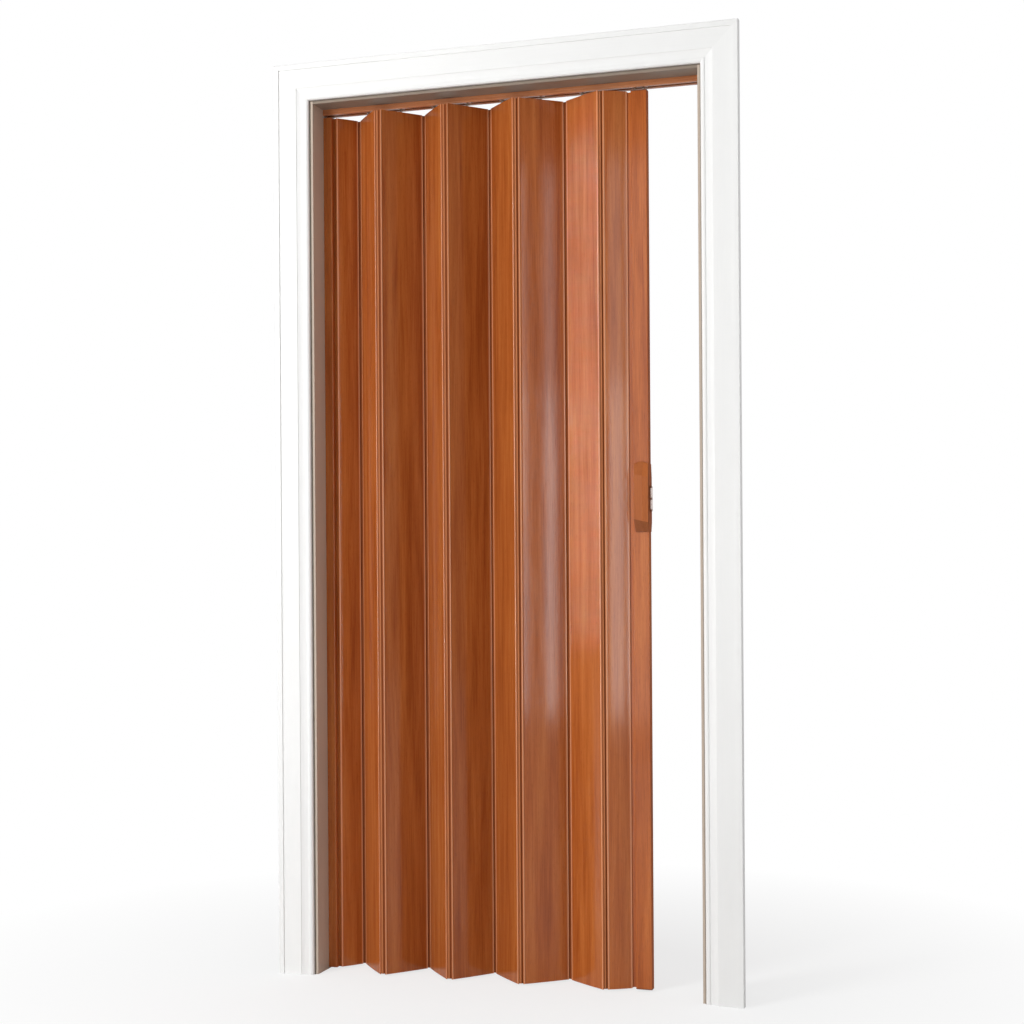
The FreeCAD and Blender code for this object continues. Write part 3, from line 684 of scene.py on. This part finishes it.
def makeSlats(v):
    trees = {True: makeSlatTree(True), False: makeSlatTree(False)}
    for n in range(1, slatCount + 1):
        end = hinges[f"strip_{n}_fold"] if n < slatCount else hinges["lead_post_fold"]
        low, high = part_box(f"slat_{n}")
        values = placeValues(hinges[f"slat_{n}_fold"], end, low, high, n)
        piece = bakeTree(trees[1 < n < slatCount], f"slatShell.{n}", {
            **v, **values, "Lip Meet": lipMeet(v, values["Span"]), "Light Tone": slatLightTones[n - 1],
            "Film": slatFilm}, slatShape["smooth"])
        finishPiece(piece, f"slat_{n}", "slat_film", f"slat_{n}")


makeSlats(slatShape)
print("slats made:", slatCount)


stripShape = {
    "Bead Radius": 0.0020,
    "Web Half": 0.0005,
    "Crown": 0.0024,
    "Lean": 0.6,
    "swellPower": 3.0,
    "paleNear": 0.60,  # the share of a front strip painted in the crest highlight colour
    "paleAway": -1.0,  # the folds that point away get none of it and are painted all in the groove shade colour
    "paleFade": 0.12,
    "points": 25,
    "smooth": 40,
}


def makeStripTree():
    tree, inputs = startTree("hingeStrip", floats(stripShape) + placing + [
        ("Pale Share", "Float", 0.6), ("Vinyl", "Material", None)])
    span, bead, web = inputs["Span"], inputs["Bead Radius"], inputs["Web Half"]
    meet = sums(tree, "ARCSINE", sums(tree, "DIVIDE", web, bead))
    reach = sums(tree, "MULTIPLY", bead, sums(tree, "COSINE", meet))
    start = sums(tree, "SUBTRACT", meet, math.pi)
    end = sums(tree, "SUBTRACT", span, reach)
    sweep = sums(tree, "MULTIPLY", start, -2.0)
    bulb = arcCurve(tree, bead, start, sweep, stripShape["points"], point(tree, span))
    under = sums(tree, "MULTIPLY", web, -1.0)
    flat = lineCurve(tree, point(tree, reach, under), point(tree, end, under))
    bow = evenCurve(tree, point(tree, reach, web), point(tree, end, web), stripShape["points"])
    share = sums(tree, "DIVIDE", sums(tree, "SUBTRACT", whereabouts(tree)[0], reach),
                 sums(tree, "SUBTRACT", end, reach))
    inside = sums(tree, "POWER", clamped(tree, share), inputs["Lean"])
    wave = sums(tree, "MAXIMUM", sums(tree, "SINE", sums(tree, "MULTIPLY", inside, math.pi)), 0.0)
    swell = sums(tree, "POWER", wave, stripShape["swellPower"])
    bow = addNode(tree, "GeometryNodeSetPosition", {"Geometry": bow, "Offset": point(
        tree, 0.0, sums(tree, "MULTIPLY", swell, inputs["Crown"]))}).outputs[0]
    across = sums(tree, "DIVIDE", whereabouts(tree)[0], span)
    # painted highlight: the share of the strip painted in the crest colour
    crestLightShare = sums(tree, "DIVIDE", sums(tree, "SUBTRACT", inputs["Pale Share"], across), stripShape["paleFade"])
    curves = joinAll(tree, [bulb, halfTurnCopy(tree, bulb, span), flat, bow])
    endTree(tree, extrudeOutline(tree, curves, inputs, [("crestHighlight", clamped(tree, crestLightShare))]), inputs["Vinyl"])
    return tree


def makeStrips(v):
    tree = makeStripTree()
    for n in range(1, slatCount):
        low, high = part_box(f"hinge_strip_{n}")
        values = placeValues(hinges[f"strip_{n}_fold"], hinges[f"slat_{n + 1}_fold"], low, high, n)
        piece = bakeTree(tree, f"hingeWeb.{n}", {
            **v, **values, "Pale Share": v["paleAway"] if n % 2 else v["paleNear"], "Vinyl": hingeVinyl},
            v["smooth"])
        finishPiece(piece, f"strip_{n}", "hinge_vinyl", f"hinge_strip_{n}")


makeStrips(stripShape)
print("hinge strips made")


softening = {"flat": 0.5, "corner": 35, "smooth": 40}  # degrees


def softenedCopy(nodeName, body, material, slotName, bevel, rounds):
    mesh = frame["nodes"][nodeName].data.copy()
    shape = bmesh.new()
    shape.from_mesh(mesh)
    bmesh.ops.remove_doubles(shape, verts=shape.verts, dist=weldGap)
    bmesh.ops.dissolve_limit(shape, angle_limit=math.radians(softening["flat"]), verts=shape.verts,
                             edges=shape.edges)
    shape.to_mesh(mesh)
    shape.free()
    piece = linkPiece(nodeName + ".dressed", mesh, material)
    roundEdges(piece, bevel, rounds, softening["corner"])
    evenShading(piece, softening["smooth"])
    finishPiece(piece, body, slotName, nodeName)


# frame, track, post and catch: material, slot, width of the worn edge, steps round it
nylonLook = (nylonWhite, "nylon", 0.0006, 3)
softened = {
    "jamb_left": (liningPaint, "lining_paint", 0.0008, 2),
    "jamb_right": (liningPaint, "lining_paint", 0.0008, 2),
    "jamb_head": (shadedHeadLiningPaint, "lining_paint", 0.0008, 2),
    "casing_left": (casingPaint, "casing_paint", 0.0006, 2),
    "casing_right": (casingPaint, "casing_paint", 0.0006, 2),
    "casing_head": (headCasingPaint, "casing_paint", 0.0006, 2),
    "track": (trackFilm, "track_film", 0.0003, 2),
    "wall_strip": (stripFilm, "wall_strip_film", 0.0008, 3),
    "strike_plate": (nickelPlate, "nickel", 0.0003, 2),
    "lead_post": (postFilm, "post_film", 0.0003, 2),
    "post_cap_top": (capPlastic, "cap_plastic", 0.0004, 2),
    "post_cap_bottom": (capPlastic, "cap_plastic", 0.0004, 2),
    "catch_housing": (catchPlastic, "catch_plastic", 0.0006, 3),
    "catch_magnets": (nickelPlate, "nickel", 0.0003, 2),
    "post_glide": nylonLook,
    **{f"glide_{n}": nylonLook for n in range(2, slatCount)},
}
for nodeName, look in softened.items():
    softenedCopy(nodeName, bodyOf[nodeName], *look)
print("frame and fittings softened")

kept = {"jamb_screws": zincPlate, "casing_nails": zincPlate, "track_screws": zincPlate,
        "wall_channel_screws": zincPlate, "wall_channel": plainVinyl, "strike_screws": zincPlate,
        "handle_screws": zincPlate, "post_pins": pinSteel,
        **{f"hanger_pin_{n}": pinSteel for n in range(2, slatCount)}}
for nodeName, material in kept.items():
    for slot in frame["nodes"][nodeName].material_slots:
        slot.material = material


handleShape = {
    "edgeHeights": (0.0090, 0.0130, 0.0084),  # left edge, ridge, right edge
    "ridgeShare": 0.62,
    "foot": 0.0030,
    "topBevel": (0.0285, 0.0370),  # at the left edge, at the right edge
    "bottomBevel": (0.0290, 0.0215),
    "bevelStep": 0.002,
    "archRise": 0.006,
    "taper": 0.003,
    "grip": (0.0090, 0.006, 0.096),  # across, deep, tall
    "gripCorner": 0.003,
    "toolSpare": 0.01,
    "wellRadius": 0.0038,
    "wellStart": 0.005,
    "wellLength": 0.03,
    "edge": 0.0006,
    "edgeAngle": 12,
    "smooth": 40,
}


def between(pair, share):
    return pair[0] + (pair[1] - pair[0]) * share


def ridgeHeight(v, share):
    leftHigh, top, rightHigh = v["edgeHeights"]
    if share <= v["ridgeShare"]:
        return between((leftHigh, top), share / v["ridgeShare"])
    return between((top, rightHigh), (share - v["ridgeShare"]) / (1 - v["ridgeShare"]))


def handleColumn(v, share, low, high):
    width, tall = high[0] - low[0], high[2] - low[2]
    lower, upper = between(v["bottomBevel"], share), between(v["topBevel"], share)
    full, column = ridgeHeight(v, share), []
    for up in (0.0, lower, lower + v["bevelStep"], tall / 2, tall - upper - v["bevelStep"], tall - upper,
               tall - v["archRise"], tall):
        rise = min(1.0, up / lower, (tall - up) / upper)
        height = v["foot"] + (full - v["foot"]) * max(0.0, rise)
        x = low[0] + width * share + v["taper"] * max(0.0, 1 - up / lower) * (1 - share)
        arch = v["archRise"] * ((x - low[0] - width / 2) / (width / 2)) ** 2
        column.append((x, height, low[2] + min(up, tall - arch)))
    return column


def handleMesh(name, v, low, high, base, out):
    ridge = v["ridgeShare"]
    columns = [handleColumn(v, share, low, high) for share in (0.0, ridge / 2, ridge, (1 + ridge) / 2, 1.0)]
    rows = list(zip(*columns))
    shape = bmesh.new()
    fronts = [[shape.verts.new((x, base + out * h, z)) for x, h, z in row] for row in rows]
    backs = [[shape.verts.new((x, base, z)) for x, h, z in row] for row in rows]
    for grid in (fronts, backs):
        for a, b in zip(grid, grid[1:]):
            for i in range(len(columns) - 1):
                shape.faces.new((a[i], a[i + 1], b[i + 1], b[i]))
    for side in (0, -1):
        for (a, b), (c, d) in zip(zip(fronts, fronts[1:]), zip(backs, backs[1:])):
            shape.faces.new((a[side], b[side], d[side], c[side]))
    for end in (0, -1):
        for i in range(len(columns) - 1):
            shape.faces.new((fronts[end][i], fronts[end][i + 1], backs[end][i + 1], backs[end][i]))
    bmesh.ops.remove_doubles(shape, verts=shape.verts, dist=weldGap)
    bmesh.ops.recalc_face_normals(shape, faces=shape.faces)
    mesh = bpy.data.meshes.new(name)
    shape.to_mesh(mesh)
    shape.free()
    return mesh


def toolFrom(shape):
    mesh = bpy.data.meshes.new("tool")
    shape.to_mesh(mesh)
    shape.free()
    tool = bpy.data.objects.new("tool", mesh)
    bpy.context.scene.collection.objects.link(tool)
    return tool


def boxTool(low, high, radius):
    shape = bmesh.new()
    bmesh.ops.create_cube(shape, size=1.0)
    for vert in shape.verts:
        vert.co = Vector([a + (b - a) * (c + 0.5) for a, b, c in zip(low, high, vert.co)])
    acrossEdges = [e for e in shape.edges if abs(e.verts[0].co.x - e.verts[1].co.x) > weldGap]
    bmesh.ops.bevel(shape, geom=acrossEdges, offset=radius, segments=4, profile=0.5, affect="EDGES")
    return toolFrom(shape)


def rodTool(place, start, radius, length):
    shape = bmesh.new()
    bmesh.ops.create_cone(shape, cap_ends=True, segments=28, radius1=radius, radius2=radius, depth=length,
                          matrix=Matrix.Rotation(math.pi / 2, 4, "X"))
    for vert in shape.verts:
        vert.co += Vector((place.x, start + length / 2, place.z))
    return toolFrom(shape)


# the low and high corners of each separate solid in a node
def islands(nodeName):
    shape = bmesh.new()
    shape.from_mesh(frame["nodes"][nodeName].data)
    bmesh.ops.remove_doubles(shape, verts=shape.verts, dist=weldGap)
    left, found = set(shape.verts), []
    while left:
        group, edge = set(), [left.pop()]
        while edge:
            vert = edge.pop()
            group.add(vert)
            for link in vert.link_edges:
                other = link.other_vert(vert)
                if other in left:
                    left.discard(other)
                    edge.append(other)
        spots = [vert.co.copy() for vert in group]
        found.append(tuple(Vector([pick(p[i] for p in spots) for i in range(3)]) for pick in (min, max)))
    shape.free()
    return found


def makeHandle(nodeName, backwards, v):
    low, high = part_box(nodeName)
    base, out = (low[1], 1) if backwards else (high[1], -1)
    piece = linkPiece(nodeName + ".moulded", handleMesh(nodeName, v, low, high, base, out), handlePlastic)
    across, deep, tall = v["grip"]
    middle, spare = (low[2] + high[2]) / 2, v["toolSpare"]
    near, far = (base - spare, base + deep) if out > 0 else (base - deep, base + spare)
    tools = [boxTool((low[0] - spare, near, middle - tall / 2), (low[0] + across, far, middle + tall / 2),
                     v["gripCorner"])]
    if backwards:
        tools += [rodTool((a + b) / 2, base + v["wellStart"], v["wellRadius"], v["wellLength"])
                  for a, b in islands("handle_screws")]
    for tool in tools:
        cut = piece.modifiers.new("cut", "BOOLEAN")
        cut.operation = "DIFFERENCE"
        cut.solver = "EXACT"
        cut.object = tool
        settleModifiers(piece)
        bpy.data.objects.remove(tool)
    roundEdges(piece, v["edge"], 3, v["edgeAngle"])
    evenShading(piece, v["smooth"])
    finishPiece(piece, "lead_post", "handle_plastic", nodeName)


makeHandle("handle_front", False, handleShape)
makeHandle("handle_back", True, handleShape)
print("handles made")


screwShape = {
    "pan": {"Head Radius": 0.0036, "Head Height": 0.0024, "Foot Scale": 1.0, "Crown Scale": 0.72},
    "flat": {"Head Radius": 0.0035, "Head Height": 0.0020, "Foot Scale": 0.5, "Crown Scale": 1.0},
    "headSides": 24,
    "headRings": 4,
    "faceRings": 2,
    "crownPower": 2.2,
    "leastShare": 0.0001,
    "slotReach": 1.15,
    "slotWidth": 0.26,
    "shankSides": 16,
    "shankRadius": 0.0017,
    "shankShorter": 0.0035,  # than the solid that it stands for
    "smooth": 35,
}


def makeScrewTree(v):
    tree, inputs = startTree("screws", [("Geometry", "Geometry", None)] + floats(v["pan"]) + [
        ("Shank Radius", "Float", 0.002), ("Length", "Float", 0.03), ("Rotation", "Vector", (0, 0, 0)),
        ("Metal", "Material", None)])
    radius, high = inputs["Head Radius"], inputs["Head Height"]
    disc = addNode(tree, "GeometryNodeMeshCylinder", {
        "Vertices": v["headSides"], "Side Segments": v["headRings"], "Fill Segments": v["faceRings"],
        "Radius": radius, "Depth": high}).outputs[0]
    here = whereabouts(tree)
    share = sums(tree, "ADD", sums(tree, "DIVIDE", here[2], high), 0.5)
    curve = sums(tree, "POWER", sums(tree, "MAXIMUM", share, v["leastShare"]), v["crownPower"])
    spread = sums(tree, "SUBTRACT", inputs["Crown Scale"], inputs["Foot Scale"])
    wide = sums(tree, "MULTIPLY_ADD", curve, spread, inputs["Foot Scale"])
    head = addNode(tree, "GeometryNodeSetPosition", {"Geometry": disc, "Position": point(
        tree, sums(tree, "MULTIPLY", here[0], wide), sums(tree, "MULTIPLY", here[1], wide),
        sums(tree, "MULTIPLY_ADD", high, 0.5, here[2]))}).outputs[0]
    arm = point(tree, sums(tree, "MULTIPLY", radius, v["slotReach"]),
                sums(tree, "MULTIPLY", radius, v["slotWidth"]), high)
    bar = addNode(tree, "GeometryNodeMeshCube", {"Size": arm}).outputs[0]
    cut = addNode(tree, "GeometryNodeMeshBoolean", {"Mesh 1": head}, operation="DIFFERENCE")
    for turn in (0.0, math.pi / 2):
        turned = addNode(tree, "GeometryNodeTransform", {
            "Geometry": bar, "Translation": point(tree, 0.0, 0.0, high), "Rotation": (0, 0, turn)})
        tree.links.new(turned.outputs[0], cut.inputs["Mesh 2"])
    shank = addNode(tree, "GeometryNodeMeshCylinder", {
        "Vertices": v["shankSides"], "Radius": inputs["Shank Radius"], "Depth": inputs["Length"]}).outputs[0]
    shank = addNode(tree, "GeometryNodeTransform", {"Geometry": shank, "Translation": point(
        tree, 0.0, 0.0, sums(tree, "MULTIPLY", inputs["Length"], -0.5))}).outputs[0]
    placed = addNode(tree, "GeometryNodeInstanceOnPoints", {
        "Points": inputs["Geometry"], "Instance": joinAll(tree, [cut.outputs[0], shank]),
        "Rotation": inputs["Rotation"]}).outputs[0]
    endTree(tree, placed, inputs["Metal"])
    return tree


# side says to which end of its axis a head points; onlySide keeps the screws right or left of the middle
def placeScrews(tree, name, nodeName, body, kind, side, rotation, onlySide=0):
    spots = []
    for low, high in islands(nodeName):
        spot = (low + high) / 2
        if onlySide and spot.x * onlySide <= 0:
            continue
        size = [b - a for a, b in zip(low, high)]
        along = size.index(max(size))
        spot[along] = (high if side > 0 else low)[along] - side * screwShape[kind]["Head Height"]
        spots.append(spot)
    mesh = bpy.data.meshes.new(name)
    mesh.from_pydata(spots, [], [])
    piece = bakeTree(tree, name, {
        **screwShape[kind], "Shank Radius": screwShape["shankRadius"],
        "Length": max(size) - screwShape["shankShorter"], "Rotation": rotation, "Metal": zincPlate},
        screwShape["smooth"], mesh)
    finishPiece(piece, body, "zinc_steel", nodeName)


screwTree = makeScrewTree(screwShape)
quarter = math.pi / 2
placeScrews(screwTree, "handleScrews", "handle_screws", "lead_post", "pan", 1, (-quarter, 0, 0))
placeScrews(screwTree, "strikeScrews", "strike_screws", "frame", "flat", -1, (0, -quarter, 0))
placeScrews(screwTree, "jambScrews.left", "jamb_screws", "frame", "flat", -1, (0, -quarter, 0), -1)
placeScrews(screwTree, "jambScrews.right", "jamb_screws", "frame", "flat", 1, (0, quarter, 0), 1)
print("screws made")


# the caulk line runs round the lining; its dark colour is that of the joint between casing and lining, partly
# painted shade
caulkShape = {"Bead Radius": 0.0016, "Half Width": 0.4640, "Height": 2.0390, "Front": -0.0542}


def makeCaulk(v):
    tree, inputs = startTree("caulkBead", floats(v) + [("Caulk", "Material", None)])
    half, high, front = inputs["Half Width"], inputs["Height"], inputs["Front"]
    other = sums(tree, "MULTIPLY", half, -1.0)
    corners = [point(tree, other, front), point(tree, other, front, high), point(tree, half, front, high),
               point(tree, half, front)]
    edges = addNode(tree, "GeometryNodeCurveToMesh", {"Curve": joinAll(tree, [
        lineCurve(tree, a, b) for a, b in zip(corners, corners[1:])])}).outputs[0]
    path = addNode(tree, "GeometryNodeMeshToCurve", {"Mesh": closeUp(tree, edges)}).outputs[0]
    ring = addNode(tree, "GeometryNodeCurvePrimitiveCircle", {
        "Resolution": 12, "Radius": inputs["Bead Radius"]}).outputs[0]
    bead = addNode(tree, "GeometryNodeCurveToMesh", {
        "Curve": path, "Profile Curve": ring, "Fill Caps": True}).outputs[0]
    endTree(tree, bead, inputs["Caulk"])
    piece = bakeTree(tree, "caulkShadowLine", {**v, "Caulk": caulkShadePaint}, 50)
    finishPiece(piece, "frame", "lining_paint")


makeCaulk(caulkShape)
print("caulk laid")


studio = {
    "ambient": 0.54,
    "glossFront": 0.16,
    "glossFade": (0.60, 0.80),
    "key": {"place": (-2.2, -3.7, 2.6), "target": (0, 0, 1.05), "size": (1.4, 1.6), "power": 118.0},
}
floorLook = {"size": 9.0, "fadeFrom": 0.5, "fadeTo": 1.6, "leastGlow": 0.70, "color": (0.86, 0.86, 0.86, 1)}
# tall panes that only the gloss shows: degrees right of the front, heights, brightness
paneRing = {"centre": (0.13, 0.03), "radius": 4.0}
panes = {
    "wideLow": ((38.5, 51.0), (0.25, 1.75), 3.0),
    "wideHigh": ((38.5, 51.0), (1.75, 2.75), 1.4),
    "thinLow": ((53.4, 57.2), (0.25, 1.75), 3.8),
    "thinHigh": ((53.4, 57.2), (1.75, 2.75), 2.0),
    "rightLow": ((62.6, 65.4), (0.25, 1.75), 5.0),
    "rightHigh": ((62.6, 65.4), (1.75, 2.75), 2.3),
    "leftNear": ((-82.6, -80.2), (0.60, 2.9), 3.4),
    "leftFar": ((-88.8, -86.7), (0.60, 2.9), 3.4),
    "leftBroad": ((-72.0, -34.0), (0.20, 2.8), 0.7),
    "front": ((-28.0, -4.0), (0.20, 2.8), 1.0),
    "lipLine": ((-66.0, -60.0), (0.25, 2.6), 10.0),
}
unshaded = ("leftNear", "leftFar")
white = (1, 1, 1, 1)


def makeFloor(v):
    size = v["size"]
    corners = [(-size, -size, 0), (size, -size, 0), (size, size, 0), (-size, size, 0)]
    mesh = bpy.data.meshes.new("floor")
    mesh.from_pydata(corners, [], [(0, 1, 2, 3)])
    material, tree = newMaterial("floorPale")
    place = addNode(tree, "ShaderNodeTexCoord").outputs["Object"]
    away = addNode(tree, "ShaderNodeVectorMath", {0: place}, operation="LENGTH").outputs["Value"]
    fade = level(tree, away, v["fadeFrom"], v["fadeTo"], v["leastGlow"], 1.0)
    rays = addNode(tree, "ShaderNodeLightPath")
    seen = sums(tree, "MULTIPLY", fade, rays.outputs["Is Camera Ray"])
    matt = addNode(tree, "ShaderNodeBsdfDiffuse", {"Color": v["color"]}).outputs[0]
    glow = addNode(tree, "ShaderNodeEmission", {"Color": white, "Strength": 1.0}).outputs[0]
    mixed = addNode(tree, "ShaderNodeMixShader", {0: seen, 1: matt, 2: glow}).outputs[0]
    addNode(tree, "ShaderNodeOutputMaterial", {"Surface": mixed})
    linkPiece("floor", mesh, material)


def makeWorld(v):
    world = bpy.data.worlds.new("studio")
    bpy.context.scene.world = world
    world.use_nodes = True
    tree = world.node_tree
    tree.nodes.clear()
    rays = addNode(tree, "ShaderNodeLightPath").outputs
    bent = sums(tree, "MAXIMUM", rays["Is Glossy Ray"], rays["Is Transmission Ray"])
    plain = sums(tree, "MAXIMUM", rays["Is Camera Ray"], bent)
    toward = addNode(tree, "ShaderNodeTexCoord").outputs["Generated"]
    ahead = addNode(tree, "ShaderNodeSeparateXYZ", {0: toward}).outputs[1]
    behind = level(tree, ahead, *v["glossFade"], v["glossFront"], 1.0)
    seen = addNode(tree, "ShaderNodeMix", {0: rays["Is Camera Ray"], 2: behind, 3: 1.0}).outputs[0]
    dim = addNode(tree, "ShaderNodeBackground", {"Color": white, "Strength": v["ambient"]}).outputs[0]
    bright = addNode(tree, "ShaderNodeBackground", {"Color": white, "Strength": seen}).outputs[0]
    mixed = addNode(tree, "ShaderNodeMixShader", {0: plain, 1: dim, 2: bright}).outputs[0]
    addNode(tree, "ShaderNodeOutputWorld", {"Surface": mixed})


def makeLamp(name, place, target, size, power):
    data = bpy.data.lights.new(name, "AREA")
    data.shape = "RECTANGLE"
    data.size, data.size_y = size
    data.energy = power
    lamp = bpy.data.objects.new(name, data)
    lamp.location = place
    lamp.rotation_euler = (Vector(target) - Vector(place)).to_track_quat("-Z", "Y").to_euler()
    lamp.visible_camera = False
    bpy.context.scene.collection.objects.link(lamp)
    return lamp


def makePane(name, degrees, heights, brightness):
    x, y = paneRing["centre"]
    radius = paneRing["radius"]
    first, last = (math.radians(angle) for angle in degrees)
    angle, middle = (first + last) / 2, sum(heights) / 2
    size = (2 * radius * math.tan((last - first) / 2), heights[1] - heights[0])
    place = (x + radius * math.sin(angle), y - radius * math.cos(angle), middle)
    lamp = makeLamp(name, place, (x, y, middle), size, 4 * brightness * size[0] * size[1])
    lamp.visible_diffuse = False
    lamp.data.use_shadow = name not in unshaded
    lamp.data.cycles.use_multiple_importance_sampling = name not in unshaded


makeFloor(floorLook)
makeWorld(studio)
makeLamp("key", **studio["key"]).visible_glossy = False
for name, (degrees, heights, brightness) in panes.items():
    makePane(name, degrees, heights, brightness)
bpy.context.scene.view_settings.view_transform = "Standard"
print("studio lit")
